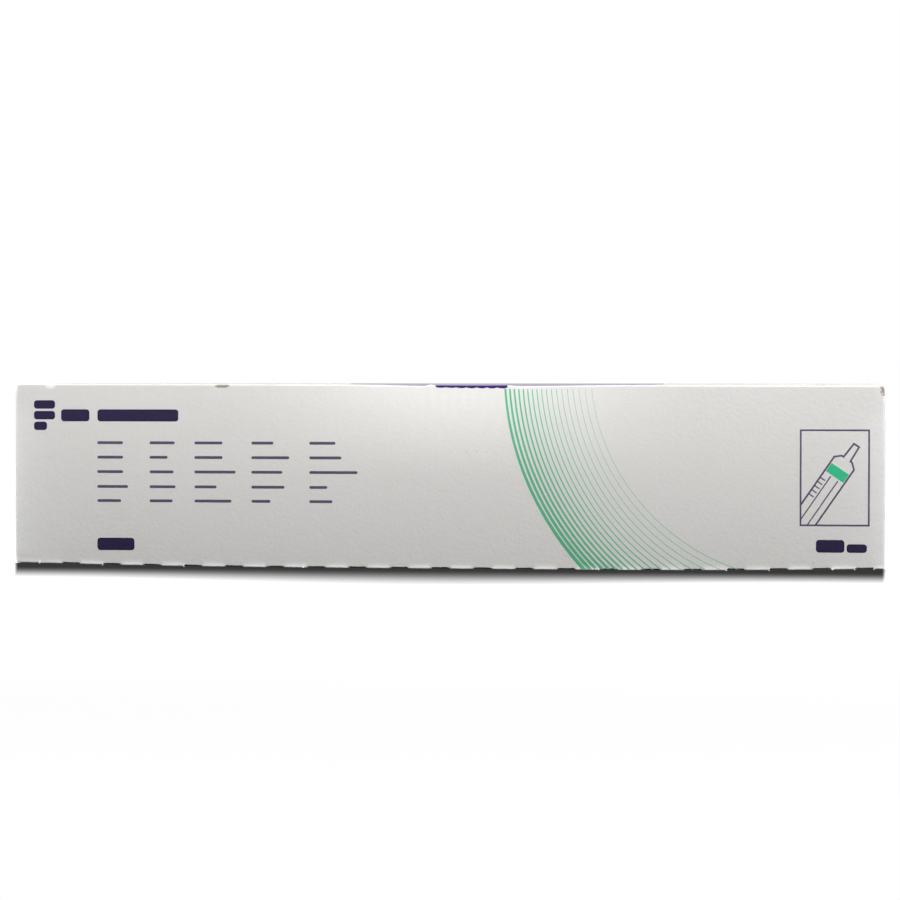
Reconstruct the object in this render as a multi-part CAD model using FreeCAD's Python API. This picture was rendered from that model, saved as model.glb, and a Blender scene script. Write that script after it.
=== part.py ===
import FreeCAD, Part
import math
import os

# Folding carton, glued shut: one printed sheet of board, creased and folded into a long shallow
# pack that holds a hundred wrapped syringes lying front to back.
# Millimetres. X runs along the carton, Y from the front panel to the back one, Z is up.
# The origin is on the ground under the middle of the carton.

# Overall size, over the folded panels
length = 460.0
depth = 150.0
height = 97.0

# Board and creases
board = 0.6              # thickness of the sheet
foldRadius = 1.1         # outside radius of a creased fold
sideGap = 1.0            # how far the lid and the bottom flap stop short of each end
flapGap = 3.0            # how far the inner flaps stop short of each end
flapShort = 1.0          # from the bottom flap's free edge to the back panel's fold
lidSet = 0.2             # from the front panel's fold to the lid's cut edge
seamSet = 0.0            # from the left end's glued-in fold to the back panel's cut edge

# The middle of the front edge, which has sunk and leans in
dipCentre = 12.0         # its place along the carton
sagDrop = 1.5            # how far the edge has sunk
sagSpan = 150.0          # length of the sunken stretch
sagReach = 105.0         # how far back the lid slopes down to it
leanIn = 1.5             # how far the front panel's top edge leans in
leanSpan = 280.0         # length of the leaning stretch
leanReach = 46.0         # how far down the panel the lean runs
leanSteps = 4            # facets down the leaning stretch

# The bottom, which its load has bowed, so that both ends are a little off the ground
endLift = 1.2            # how far they are off it
liftRun = 150.0          # length of the bend towards either end
facetLength = 14.0       # spacing of the sections that the carton is ruled between

# Thumb tab of the lid, bent down over the front fold in the middle of the dip
tabWidth = 38.0
tabDrop = 1.0            # from the lid's face to the roots of the scallops
tabSink = 0.1            # how far the tab lies under the lid's face
tabBend = 0.5            # outside radius of its bend
scallopCount = 7
scallopDepth = 0.8

# Cut crease along the bottom of the front panel
cutCount = 20
cutLength = 8.5
firstCut = 29.2          # from the left end to the middle of the first cut
lastCut = 9.0            # from the middle of the last cut to the right end

front = -depth / 2
back = depth / 2
left = -length / 2
right = length / 2
endTop = height - 2 * board      # outside of the end flaps, under the front flap and the lid
flapTop = height - board         # outside of the front panel's flap, under the lid
endBottom = endLift + 2 * board  # outside of the bottom end flaps
backBottom = board               # outside of the back panel's flap, over the front panel's own


def across(y, z):
    """A point of a section across the carton."""
    return FreeCAD.Vector(0, y, z)


def block(x0, x1, y0, y1, z0, z1):
    """A plain block between two corners."""
    return Part.makeBox(x1 - x0, y1 - y0, z1 - z0, FreeCAD.Vector(x0, y0, z0))


def outline(*stretches):
    """A closed wire of straight lines and arcs.

    Each stretch is the point that it starts from, or that point and one half way round an arc.
    """
    edges = []
    for i, stretch in enumerate(stretches):
        start = stretch[0]
        end = stretches[(i + 1) % len(stretches)][0]
        if len(stretch) == 2:
            edges.append(Part.Arc(start, stretch[1], end).toShape())
        else:
            edges.append(Part.LineSegment(start, end).toShape())
    return Part.Wire(edges)


def halfWay(centre, u, v, radius):
    """The middle of a quarter round about centre, between the directions u and v."""
    return centre + (u + v) * (radius / math.sqrt(2))


def prism(wire, along):
    """The solid that a closed outline sweeps on its way along a vector."""
    return Part.Face(wire).extrude(along)


def bell(x, span):
    """A smooth hump along the carton: one at the middle of the dip, none half a span away."""
    away = abs(x - dipCentre) / span
    return 0.5 + 0.5 * math.cos(2 * math.pi * away) if away < 0.5 else 0.0


def lift(x):
    """How far the bottom is off the ground: none in the middle, endLift at the inner flaps' ends."""
    along = (abs(x) - (right - flapGap - liftRun)) / liftRun
    return endLift * min(max(along, 0), 1) ** 2


def leaningFace(x, low, high):
    """The front panel in section: upright, then bent in ever more towards its top fold."""
    lean = leanIn * bell(x, leanSpan)
    stretches = []
    for i in range(leanSteps + 1):
        share = i / leanSteps
        stretches.append([across(front + lean * share ** 2, low + (high - low) * share)])
    return stretches


def section(x):
    """The carton cut across at x, with the lid's and the bottom flap's cut edges as steps."""
    r = foldRadius
    forward, rearward = across(-1, 0), across(1, 0)
    up, down = across(0, 1), across(0, -1)
    sag = sagDrop * bell(x, sagSpan)
    ground = lift(x)
    foldEnd = flapTop - sag - r
    panel = leaningFace(x, height - leanReach, foldEnd)
    face = panel[-1][0].y
    lidEdge = face + r + lidSet
    flapEdge = back - r - flapShort
    heel = ground + backBottom
    panel[-1].append(halfWay(across(face + r, foldEnd), forward, up, r))
    wire = outline(
        [across(front, ground + r)],
        *panel,
        [across(face + r, flapTop - sag)],
        [across(lidEdge, flapTop - sag)],
        [across(lidEdge, height - sag)],
        [across(front + sagReach, height)],
        [across(back - r, height), halfWay(across(back - r, height - r), rearward, up, r)],
        [across(back, height - r)],
        [across(back, heel + r), halfWay(across(back - r, heel + r), rearward, down, r)],
        [across(back - r, heel)],
        [across(flapEdge, heel)],
        [across(flapEdge, ground)],
        [across(front + r, ground), halfWay(across(front + r, ground + r), forward, down, r)],
    )
    wire.translate(FreeCAD.Vector(x, 0, 0))
    return wire


def middle():
    """All of the carton between its inner flaps' ends, ruled from one section to the next."""
    start = left + flapGap
    end = right - flapGap
    before = math.ceil((dipCentre - start) / facetLength) - 1
    after = math.ceil((end - dipCentre) / facetLength) - 1
    places = [dipCentre + i * facetLength for i in range(-before, after + 1)]
    return Part.makeLoft([section(x) for x in [start] + places + [end]], True, True)


def plan():
    """The upright walls seen from above: three creased corners, and the glued lap at the back left.

    At the lap the end panel turns in under the back panel, whose cut edge shows as a step.
    """
    r = foldRadius
    lap = back - board
    seam = left + r + seamSet
    at = FreeCAD.Vector
    west, east = at(-1, 0, 0), at(1, 0, 0)
    south, north = at(0, -1, 0), at(0, 1, 0)
    stretches = [
        [at(left + r, front, 0)],
        [at(right - r, front, 0), halfWay(at(right - r, front + r, 0), east, south, r)],
        [at(right, front + r, 0)],
        [at(right, back - r, 0), halfWay(at(right - r, back - r, 0), east, north, r)],
        [at(right - r, back, 0)],
        [at(seam, back, 0)],
        [at(seam, lap, 0)],
        [at(left, lap - r, 0)],
        [at(left, front + r, 0), halfWay(at(left + r, front + r, 0), west, south, r)],
    ]
    tuck = halfWay(at(left + r, lap - r, 0), west, north, r)
    if seamSet > 0:
        stretches[6:7] = [[at(seam, lap, 0)], [at(left + r, lap, 0), tuck]]
    else:
        stretches[6].append(tuck)
    return prism(outline(*stretches), at(0, 0, height))


def endFolds():
    """The end panels seen from the front, rounded where their flaps fold in."""
    r = foldRadius
    at = FreeCAD.Vector
    west, east = at(-1, 0, 0), at(1, 0, 0)
    down, up = at(0, 0, -1), at(0, 0, 1)
    low, high = endBottom + r, endTop - r
    wire = outline(
        [at(left + r, front, endBottom)],
        [at(right - r, front, endBottom), halfWay(at(right - r, front, low), east, down, r)],
        [at(right, front, low)],
        [at(right, front, high), halfWay(at(right - r, front, high), east, up, r)],
        [at(right - r, front, endTop)],
        [at(left + r, front, endTop), halfWay(at(left + r, front, high), west, up, r)],
        [at(left, front, high)],
        [at(left, front, low), halfWay(at(left + r, front, low), west, down, r)],
    )
    return prism(wire, at(0, depth, 0))


def ends():
    """The last stretch at either end, where only the end panels and their folded flaps reach."""
    body = plan().common(endFolds())
    return body.cut(block(left + flapGap, right - flapGap, front, back, 0, height))


def lidOverhang():
    """The lid and its hinge in section, where they run on past the inner flap."""
    r = foldRadius
    hinge = across(back - r, height - r)
    lidEdge = front + r + lidSet
    return outline(
        [across(lidEdge, flapTop)],
        [across(lidEdge, height)],
        [across(back - r, height), halfWay(hinge, across(1, 0), across(0, 1), r)],
        [across(back, height - r)],
        [across(back, endTop - r)],
        [across(back - board, endTop - r)],
        [across(back - board, flapTop)],
    )


def bottomOverhang():
    """The front panel's bottom flap in section, where it runs on past the flap above it."""
    r = foldRadius
    ground = endLift
    flapEdge = back - r - flapShort
    return outline(
        [across(front, endBottom + r)],
        [across(front + board, endBottom + r)],
        [across(front + board, ground + backBottom)],
        [across(flapEdge, ground + backBottom)],
        [across(flapEdge, ground)],
        [across(front + r, ground), halfWay(across(front + r, ground + r), across(-1, 0), across(0, -1), r)],
        [across(front, ground + r)],
    )


def overhangs():
    """Both overhanging edges, from the inner flaps' ends to the lid's own, at either end."""
    run = flapGap - sideGap
    pieces = []
    for wire in (lidOverhang(), bottomOverhang()):
        for start in (left + sideGap, right - flapGap):
            piece = prism(wire, FreeCAD.Vector(run, 0, 0))
            piece.translate(FreeCAD.Vector(start, 0, 0))
            pieces.append(piece)
    return pieces


def thumbTab():
    """The lid's scalloped tab, bent down over the front fold and lying against the panel."""
    face = front + leanIn - board
    root = front + leanIn + foldRadius + lidSet + board
    top = height - sagDrop - tabSink
    bend = across(face + tabBend, top - tabBend)
    foot = top - tabDrop - scallopDepth
    strip = prism(outline(
        [across(face, foot)],
        [across(face, top - tabBend), halfWay(bend, across(-1, 0), across(0, 1), tabBend)],
        [across(face + tabBend, top)],
        [across(root, top)],
        [across(root, foot)],
    ), FreeCAD.Vector(tabWidth, 0, 0))
    strip.translate(FreeCAD.Vector(dipCentre - tabWidth / 2, 0, 0))
    return strip.common(scallops(face, root, top))


def scallops(face, root, top):
    """The tab seen from the front, with a round tooth under each pitch of its lower edge."""
    pitch = tabWidth / scallopCount
    west = dipCentre - tabWidth / 2
    east = dipCentre + tabWidth / 2
    gum = top - tabDrop
    at = FreeCAD.Vector
    stretches = []
    for i in range(scallopCount):
        tip = at(west + (i + 0.5) * pitch, face, gum - scallopDepth)
        stretches.append([at(west + i * pitch, face, gum), tip])
    stretches += [[at(east, face, gum)], [at(east, face, top)], [at(west, face, top)]]
    return prism(outline(*stretches), at(0, root - face, 0))


def creaseCuts():
    """The knife cuts that break the front panel's bottom fold."""
    pitch = (length - firstCut - lastCut) / (cutCount - 1)
    r = foldRadius
    cuts = []
    for i in range(cutCount):
        centre = left + firstCut + i * pitch
        crease = lift(centre) + r
        cuts.append(block(centre - cutLength / 2, centre + cutLength / 2, front - r, front + r, -r, crease))
    return cuts


def carton():
    """The whole closed carton as one solid."""
    shape = middle().multiFuse([ends(), thumbTab()] + overhangs())
    return shape.cut(creaseCuts()).removeSplitter()


os.makedirs("parts", exist_ok=True)
closed = carton()
print("carton:", len(closed.Solids), "solid,", len(closed.Faces), "faces,", round(closed.Volume), "mm3")
closed.exportStep("parts/carton.step")
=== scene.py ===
# A closed syringe carton: one printed sheet of coated board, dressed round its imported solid.
import math

import bmesh
import bpy
import numpy as np
from mathutils import Matrix, Vector


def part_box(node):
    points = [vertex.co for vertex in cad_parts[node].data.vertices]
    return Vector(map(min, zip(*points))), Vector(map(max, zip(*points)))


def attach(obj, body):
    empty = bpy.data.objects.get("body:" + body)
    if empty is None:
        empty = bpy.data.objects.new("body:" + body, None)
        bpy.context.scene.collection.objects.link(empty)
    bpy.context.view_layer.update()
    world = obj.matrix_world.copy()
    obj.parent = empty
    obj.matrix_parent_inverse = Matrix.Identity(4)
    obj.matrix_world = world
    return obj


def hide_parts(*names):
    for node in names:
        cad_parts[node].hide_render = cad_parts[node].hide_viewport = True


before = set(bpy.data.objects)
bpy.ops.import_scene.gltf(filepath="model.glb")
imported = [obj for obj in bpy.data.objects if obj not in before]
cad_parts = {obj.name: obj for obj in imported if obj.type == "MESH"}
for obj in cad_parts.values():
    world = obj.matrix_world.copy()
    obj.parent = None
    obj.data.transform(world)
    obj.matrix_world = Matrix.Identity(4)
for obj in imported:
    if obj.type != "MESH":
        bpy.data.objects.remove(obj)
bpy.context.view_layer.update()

mm = 0.001
low, high = (np.array(corner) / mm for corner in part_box("carton"))
left, front, ground = low
right, back, top = high

# Everything below is in millimetres until a mesh is made
carton = {
    "board": 0.6,           # thickness of the sheet
    "fold": 0.42,           # outside radius of a crease
    "pressed": (0.5, 0.1),  # how far the lid's edge has sunk into the flap, at the left and at the right
    "nod": 0.35,            # how much lower the lid's edge lies at the right
    "heel": 0.45,           # outside radius of the cut crease along the bottom front edge
    "skin": 0.05,           # room left under the solid's faces for the ink
    "apart": 0.03,          # room between two flaps that lie on one another
    "lidSet": 0.2,          # from the front fold to the lid's cut edge
    "flapShort": 1.0,       # from the bottom flap's free edge to the back fold
    "innerFlap": 45.0,      # depth of the flaps under the lid and over the bottom
    "endFlap": 60.0,        # depth of the flaps at either end
    "lapWidth": 18.0,       # glued lap inside the back panel
    "dipCentre": 12.0,      # middle of the sunken front edge
    "sagDrop": 1.0,
    "sagSpan": 190.0,
    "sagReach": 105.0,
    "leanIn": 5.2,          # how far the panel's top is pushed in at the dip
    "leanSpan": 280.0,
    "leanReach": 48.0,
    "endLift": 1.7,         # how far the bowed bottom's ends are off the ground
    "liftRun": 150.0,
    "flapGap": 3.0,
    "frontSwell": 0.6,      # how far the panels swell between their folds
    "backSwell": 0.7,
    "endSwell": 0.3,
    "swellRun": 70.0,       # distance over which a swelling starts from an upright corner
    "rippleDepth": 0.12,
    "lidRipple": 0.06,
    "pocketDepth": 0.35,    # how far the lid sinks where no flap lies under it
    "ridgeDepth": 0.07,     # marks of the thumb tab's perforation
    "ridgePitch": 5.3,
    "ridgeField": (-16.0, 34.0, 82.0),      # where they start and end along X, and start up Z
    "lipOut": 0.2,          # bulge of the bottom fold between two cuts
    "lipReach": 0.9,
    "edgePale": 0.5,        # how much paler the sheet is at its rubbed cut edge, and at its top front fold as a painted highlight
    "foldPale": 0.6,        # and along the middle of its other folds
    "backRub": 0.2,         # and everywhere on the folds at the back and the ends
    "heelRub": 0.25,        # and at the foot of the back panel
    "frontRubAndHighlight": 1.2,        # and on the two upright folds at the front, mostly as a painted highlight
    "endPale": 0.8,         # painted highlight on the front towards them
    "endPaleRun": 9.0,
    "endPaleTop": (74.0, 92.0),     # heights between which that ends
    "footPale": (1.0, 9.0),         # and where it starts at the left, and how long it takes
    "rimPale": 1.6,         # and a painted highlight right beside them
    "rimWidth": 0.9,
}
cuts = {
    "count": 20,
    "length": 10.0,
    "first": 30.5,
    "last": 10.6,
    "rise": 0.5,            # how much higher the panel ends in a cut than between two
    "setBack": 3.0,         # how far the bottom flap's edge lies back in a cut
    "ramp": 1.2,            # how long a cut's ends take to rise
    "fray": 0.1,
    "bridgePale": [1.0, 0.85, 0.2],     # painted highlight on the bridges, in the panel's lowest three rows
    "burrs": [-216.6, -182.4, -138.4, -74.1, 82.2, 148.3, 170.4, 203.2, 214.4, 224.4],
    "burrOut": 0.7,         # how far a torn point stands out, and its shares forwards and down
    "burrShares": (0.55, 0.8),
    "burrHalf": 0.7,
    "burrPale": 2.5,
}
tab = {
    "middle": 14.7,
    "width": 38.0,
    "teeth": 7,
    "drop": (0.74, 0.98),   # from the lid's face to the roots of the teeth, at the left and at the right
    "toothDepth": (0.36, 0.76),
    "crest": 0.5,           # how much higher the lid's edge stays along the tab
    "crestRun": 8.0,        # and how far to each side and to the back
    "follow": 0.65,         # how much of the lid's rise the front fold takes part in
    "bend": 0.45,           # outside radius of its bend over the front fold
    "proud": 0.12,          # how far it stands out from the panel
    "curlPlace": -7.1,      # the torn corner beside it, which curls up
    "curlRise": 0.6,
    "curlHalf": 1.9,
    "paleBase": 0.15,
}
# Long shallow waves in every panel
ripples = {
    "count": 6,
    "lengths": (38, 120),
}
# How the sheet is divided into faces
division = {
    "even": 4.0,            # spacing of the columns along X where nothing happens
    "clear": 1.4,           # room that they leave to the others
    "foldSteps": 6,
    "tabRows": 12,
    "toothSteps": 8,
    "endRows": 38,
}
# Knocks: middle, reach and push, along X, Y and Z
dents = [
    [(230.0, -75.0, 95.5), 4.0, (-0.75, 0.6, -0.5)],
    [(-230.0, -75.0, 96.0), 3.2, (0.6, 0.4, -0.5)],
    [(-230.0, -75.0, 1.5), 4.0, (0.12, 0.2, 0.05)],
    [(-118.5, -75.0, 96.5), 3.0, (0.0, 0.25, -0.35)],
    [(-210.5, -75.0, 96.5), 3.0, (0.0, 0.2, -0.2)],
    [(230.0, 75.0, 97.0), 4.0, (-0.6, -0.5, -0.4)],
    [(-230.0, 75.0, 97.0), 3.5, (0.4, -0.5, -0.3)],
]

board, fold, heel, skin = carton["board"], carton["fold"], carton["heel"], carton["skin"]
cutPitch = (right - left - cuts["first"] - cuts["last"]) / (cuts["count"] - 1)
cutCentres = left + cuts["first"] + cutPitch * np.arange(cuts["count"])
halfCut = cuts["length"] / 2
tabLeft = tab["middle"] - tab["width"] / 2
tabRight = tab["middle"] + tab["width"] / 2


def smooth(t):
    # nought, then 3t^2 - 2t^3, then one; what divides inside its brackets is the length of a ramp
    t = np.clip(t, 0, 1)
    return t * t * (3 - 2 * t)


def bell(x, span):
    # one whole cosine wave, raised, about the middle of the dip
    away = np.clip(np.abs(x - carton["dipCentre"]) / span, 0, 0.5)
    return 0.5 + 0.5 * np.cos(2 * np.pi * away)


def sag(x):
    # how far the front edge has sunk: that wave's share of its depth
    return carton["sagDrop"] * bell(x, carton["sagSpan"])


def lift(x):
    # nothing in the middle, then the square of the way towards either end
    start = right - carton["flapGap"] - carton["liftRun"]
    return carton["endLift"] * np.clip((np.abs(x) - start) / carton["liftRun"], 0, 1) ** 2


def waves(a, b, seed):
    # the mean of a few long waves in seeded directions, from nought to one
    rng = np.random.default_rng(seed)
    count = ripples["count"]
    turns = rng.uniform(0, np.pi, count)
    lengths = rng.uniform(*ripples["lengths"], count)
    phases = rng.uniform(0, 6.28, count)
    total = 0
    for turn, length, phase in zip(turns, lengths, phases):
        total = total + np.cos(2 * np.pi * (a * np.cos(turn) + b * np.sin(turn)) / length + phase)
    return 0.5 + total / (2 * count)


def swelling(along, start, end, share):
    # nothing at a panel's four folds: a sine up the panel, faded in from its upright corners
    reach = np.minimum(along - start, end - along)
    return smooth(reach / carton["swellRun"]) * np.sin(np.pi * np.clip(share, 0, 1))


def frontLow(x):
    # the height of the front panel's foot
    return lift(x) + heel


def nod(x):
    # how far the lid's edge nods down, evenly from left to right
    return carton["nod"] * np.clip((x - left) / (right - left), 0, 1)


def crest(x):
    # a plateau along the tab, with a ramp to either side
    run = tab["crestRun"]
    return tab["crest"] * smooth((x - tabLeft) / run + 1) * smooth((tabRight - x) / run + 1)


def curl(x):
    # a bell of the distance from the torn corner
    return tab["curlRise"] * np.exp(-((x - tab["curlPlace"]) / tab["curlHalf"]) ** 2)


def frontHigh(x):
    # the height of the front panel's head: the lid's edge less the sheet and the fold
    atLeft, atRight = carton["pressed"]
    pressed = atLeft + (atRight - atLeft) * (x - left) / (right - left)
    rise = tab["follow"] * (crest(x) + curl(x))
    return top - skin - board + pressed - nod(x) - sag(x) - fold + rise


def fromCuts(x):
    # how far it is to the nearest cut's middle
    return np.min(np.abs(np.asarray(x)[..., None] - cutCentres), axis=-1)


def between(x):
    # one on the bridges of the bottom fold, nought in its cuts
    return smooth((fromCuts(x) - halfCut) / cuts["ramp"])


def inCuts(x):
    # one inside the cuts, nought on the bridges
    return smooth((halfCut - fromCuts(x)) / cuts["ramp"])


def frontY(x, z):
    # an upright plane with the swelling and ripples taken from it, that leans in under the dip
    start, end = frontLow(x), frontHigh(x)
    share = (z - start) / (end - start)
    full = swelling(x, left, right, share)
    leanFrom = top - carton["leanReach"]
    up = np.clip((z - leanFrom) / (end - leanFrom), 0, 1)
    lean = carton["leanIn"] * bell(x, carton["leanSpan"]) * up ** 2
    ripple = carton["rippleDepth"] * waves(x, z, 3) * full
    ridges = 0.5 + 0.5 * np.cos(2 * np.pi * (x - carton["dipCentre"]) / carton["ridgePitch"])
    fromX, toX, fromZ = carton["ridgeField"]
    window = smooth((x - fromX) / 4) * smooth((toX - x) / 4)
    window = window * smooth((z - fromZ) / 3) * smooth((end - z) / 2)
    lip = carton["lipOut"] * between(x) * np.exp(-((z - start) / carton["lipReach"]) ** 2)
    swell = carton["frontSwell"] * (1 - full)
    return front + skin + swell + ripple + lean + carton["ridgeDepth"] * ridges * window - lip


def lidEdge(x):
    # the lid's cut edge, just behind the front panel's fold
    return frontY(x, frontHigh(x)) + fold + carton["lidSet"]


def lidZ(x, y):
    # flat, sloping down to the dip at the front, and sunk where no flap carries it
    edge = lidEdge(x)
    slope = np.clip(1 - (y - edge) / (front + carton["sagReach"] - edge), 0, 1)
    inFlap = smooth((y - front - carton["innerFlap"]) / 6)
    inEnds = smooth((right - carton["endFlap"] - np.abs(x)) / 8)
    pocket = carton["pocketDepth"] * inFlap * inEnds * smooth((back - 3 - y) / 14)
    ripple = carton["lidRipple"] * waves(x, y, 5) * smooth((y - edge) / 20)
    ripple = ripple * smooth((back - fold - y) / 20) * smooth((right - np.abs(x)) / 30)
    depth = np.clip((back - fold - y) / (back - fold - edge), 0, 1)
    raised = curl(x) * np.exp(-(y - edge) ** 2) + crest(x) * np.exp(-((y - edge) / tab["crestRun"]) ** 2)
    return top - skin - sag(x) * slope - nod(x) * depth - pocket - ripple + raised


def backY(x, z):
    # an upright plane with the swelling added and ripples taken from it
    start, end = lift(x) + board + fold, top - skin - fold
    full = swelling(x, left, right, (z - start) / (end - start))
    ripple = carton["rippleDepth"] * waves(x, z, 7) * full
    return back - skin - carton["backSwell"] * (1 - full) - ripple


def endX(y, z, side):
    # the same for the end panels, where side is 1 for the right one and -1 for the left one
    full = swelling(y, front, back, (z - endLow) / (endHigh - endLow))
    ripple = carton["rippleDepth"] * waves(y, z, 9 + side) * full
    return side * (right - skin - carton["endSwell"] * (1 - full) - ripple)


endLow = carton["endLift"] + 2 * board + fold
endHigh = top - skin - 2 * board - fold
cornerX = right - skin - carton["endSwell"]          # where the upright folds' outsides lie
cornerFront = front + skin + carton["frontSwell"]
cornerBack = back - skin - carton["backSwell"]
steps = division["foldSteps"]
turn = np.linspace(0, np.pi / 2, steps + 1)
# shares of the way up a panel, and of the way from the hinge to the lid's cut edge
rise = np.unique(np.concatenate([[0, 0.006, 0.016, 0.03], np.linspace(0.05, 0.95, 25), [0.975, 0.99, 1]]))
lidRows = np.unique(np.concatenate([np.linspace(0, 1, 40), [0.985, 0.993]]))


def columns():
    # places along X: an even spacing, and closer ones at the cuts' ends and about the tab
    start, end = -cornerX + fold, cornerX - fold
    around = halfCut + np.array([-cuts["ramp"], 0, 0.35, 0.9])
    around = np.concatenate([-around[::-1], around])
    burrs = np.array(cuts["burrs"])[:, None] + cuts["burrHalf"] * np.array([-1, 0, 1])
    must = np.sort(np.concatenate([(cutCentres[:, None] + around).ravel(), burrs.ravel()]))
    must = must[np.diff(must, prepend=left) > 0.25]
    teeth = np.linspace(tabLeft, tabRight, tab["teeth"] * division["toothSteps"] + 1)
    must = must[(must < tabLeft - 0.3) | (must > tabRight + 0.3)]
    torn = tab["curlPlace"] + np.arange(-5, 3)
    beside = tabRight + np.array([1, 2, 3.2, 4.4, 5.6, 6.8, 8])
    must = np.sort(np.concatenate([must, teeth, torn, beside]))
    must = must[np.diff(must, prepend=left) > 0.2]
    must = must[(must > start + 1.3) & (must < end - 1.3)]
    rim = carton["rimWidth"]
    must = np.concatenate([[start, start + rim], must, [end - rim, end]])
    even = np.arange(start, end, division["even"])
    room = np.min(np.abs(even[:, None] - must), axis=1)
    return np.sort(np.concatenate([must, even[room > division["clear"]]]))


columnX = columns()
tabX = columnX[(columnX > tabLeft - 0.01) & (columnX < tabRight + 0.01)][:, None]


def stack(x, y, z):
    # a grid of points from its three coordinates
    return np.stack(np.broadcast_arrays(x, y, z), axis=-1)


def foldPaleness(angle, paleBase=carton["backRub"]):
    # pale everywhere, and most along the middle of the fold: rubbed, and on the front upright folds also a
    # painted highlight
    return paleBase + carton["foldPale"] * np.sin(2 * angle)


def frontSheet():
    # bottom flap, cut fold, panel, top fold and inner flap, in rows from the bottom's free edge on
    x = columnX[:, None]
    lowZ, highZ = frontLow(x), frontHigh(x)
    flapEnd = cornerBack - fold - carton["flapShort"]
    y0 = frontY(x, lowZ)
    y1 = frontY(x, highZ)
    bottom = flapEnd + (y0 + heel - flapEnd) * np.linspace(0, 1, 5)[None, :-1]
    lower = turn[::-1][None, :-1]
    foot = lowZ + cuts["rise"] * inCuts(x)
    panelZ = foot + (highZ - foot) * rise[None, :]
    upper = turn[None, 1:]
    inner = y1 + fold + carton["innerFlap"] * np.array([0.02, 0.3, 1.0])[None, :]
    rng = np.random.default_rng(11)
    fray = cuts["fray"] * rng.uniform(-1, 1, x.shape) * (inCuts(x) > 0.5)
    flat = stack(x, bottom, lift(x))
    crease = stack(x, y0 + heel - heel * np.cos(lower), lowZ - heel * np.sin(lower))
    face = stack(x, frontY(x, panelZ), panelZ)
    face[:, 0, 2] += fray[:, 0]
    brow = stack(x, y1 + fold - fold * np.cos(upper), highZ + fold * np.sin(upper))
    under = stack(x, inner, lidZ(x, inner) - board - carton["apart"])
    under[:, 0, 2] = (highZ + fold)[:, 0]
    points = np.concatenate([flat, crease, face, brow, under], axis=1)
    wearAndHighlight = np.zeros(points.shape[:2])
    first = flat.shape[1]
    points[:, first, 1] += cuts["setBack"] * inCuts(x)[:, 0]
    faceAt = first + steps
    # a painted highlight on the bridges of the bottom crease
    wearAndHighlight[:, first:faceAt] = 1.0
    # painted highlights towards the upright folds, and on the bridges of the cut crease
    reach = np.minimum(x - left, right - x)
    lowPale, highPale = carton["endPaleTop"]
    footPale, footRun = carton["footPale"]
    below = 1 - smooth((panelZ - lowPale) / (highPale - lowPale))
    below = below * np.where(x < 0, smooth((panelZ - footPale) / footRun), 1)
    browAt = faceAt + face.shape[1]
    wearAndHighlight[:, faceAt:browAt] = carton["endPale"] * np.exp(-reach / carton["endPaleRun"]) * below
    wearAndHighlight[[0, -1], faceAt:browAt] = carton["rimPale"]
    inRow = smooth((x - cutCentres[0] + cutPitch / 2) / 4) * smooth((cutCentres[-1] + cutPitch / 2 - x) / 4)
    wearAndHighlight[:, faceAt:faceAt + 3] += between(x) * inRow * np.array(cuts["bridgePale"])
    # a painted highlight along the top front fold
    wearAndHighlight[:, browAt:browAt + steps] = carton["edgePale"] * np.sin(2 * turn[1:])
    # the creased fold is cut away inside the cuts
    inCut = fromCuts((columnX[1:] + columnX[:-1]) / 2) < halfCut
    keep = np.ones((points.shape[0] - 1, points.shape[1] - 1), bool)
    keep[np.ix_(inCut, np.arange(first, faceAt))] = False
    # the torn board stands out here and there as small points
    push = cuts["burrOut"] * np.sin(2 * turn[::-1]) ** 2
    forwards, down = cuts["burrShares"]
    for place in cuts["burrs"]:
        i = np.argmin(np.abs(columnX - place))
        torn = points[i, first:faceAt + 1]
        torn[:, 1] -= forwards * push
        torn[:, 2] -= np.minimum(down * push, torn[:, 2])
        wearAndHighlight[i, first:faceAt + 2] = cuts["burrPale"]
    return points, wearAndHighlight, keep, False


def backSheet():
    # inner bottom flap, heel, back panel, hinge and lid, in rows up to the lid's cut edge
    x = columnX[:, None]
    lowZ, highZ = lift(x) + board + fold, top - skin - fold
    y0, y1 = backY(x, lowZ), backY(x, highZ)
    flap = y0 - fold - carton["innerFlap"] * np.array([1.0, 0.4])[None, :]
    panelZ = lowZ + (highZ - lowZ) * rise[None, :]
    edge = lidEdge(x)
    lidY = y1 - fold + (edge - y1 + fold) * lidRows[None, 1:]
    flat = stack(x, flap, lift(x) + board + 0.02)
    heel = stack(x, y0 - fold + fold * np.sin(turn[None, :-1]), lowZ - fold * np.cos(turn[None, :-1]))
    face = stack(x, backY(x, panelZ), panelZ)
    hinge = stack(x, y1 - fold + fold * np.cos(turn[None, 1:]), highZ + fold * np.sin(turn[None, 1:]))
    lid = stack(x, lidY, lidZ(x, lidY))
    points = np.concatenate([flat, heel, face, hinge, lid], axis=1)
    wearAndHighlight = np.zeros(points.shape[:2])
    wearAndHighlight[:, 2:2 + steps] = foldPaleness(turn[:-1], carton["heelRub"])
    hingeAt = 2 + steps + face.shape[1]
    wearAndHighlight[:, hingeAt:hingeAt + steps] = foldPaleness(turn[1:])
    wearAndHighlight[:, -1] = carton["edgePale"]
    return points, wearAndHighlight, None, True


def tabPath(x, s):
    # s runs forward from the lid's edge: flat to the bend, a quarter round, then down the panel
    edge = lidEdge(x)
    face = frontY(x, frontHigh(x)) - tab["proud"]
    bend = tab["bend"]
    level = lidZ(x, edge)
    flat = edge - face - bend
    angle = np.clip((s - flat) / bend, 0, np.pi / 2)
    down = np.maximum(s - flat - bend * np.pi / 2, 0)
    y = edge - np.minimum(s, flat) - bend * np.sin(angle)
    z = level - bend * (1 - np.cos(angle)) - down
    return stack(x, y, z)


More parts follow.
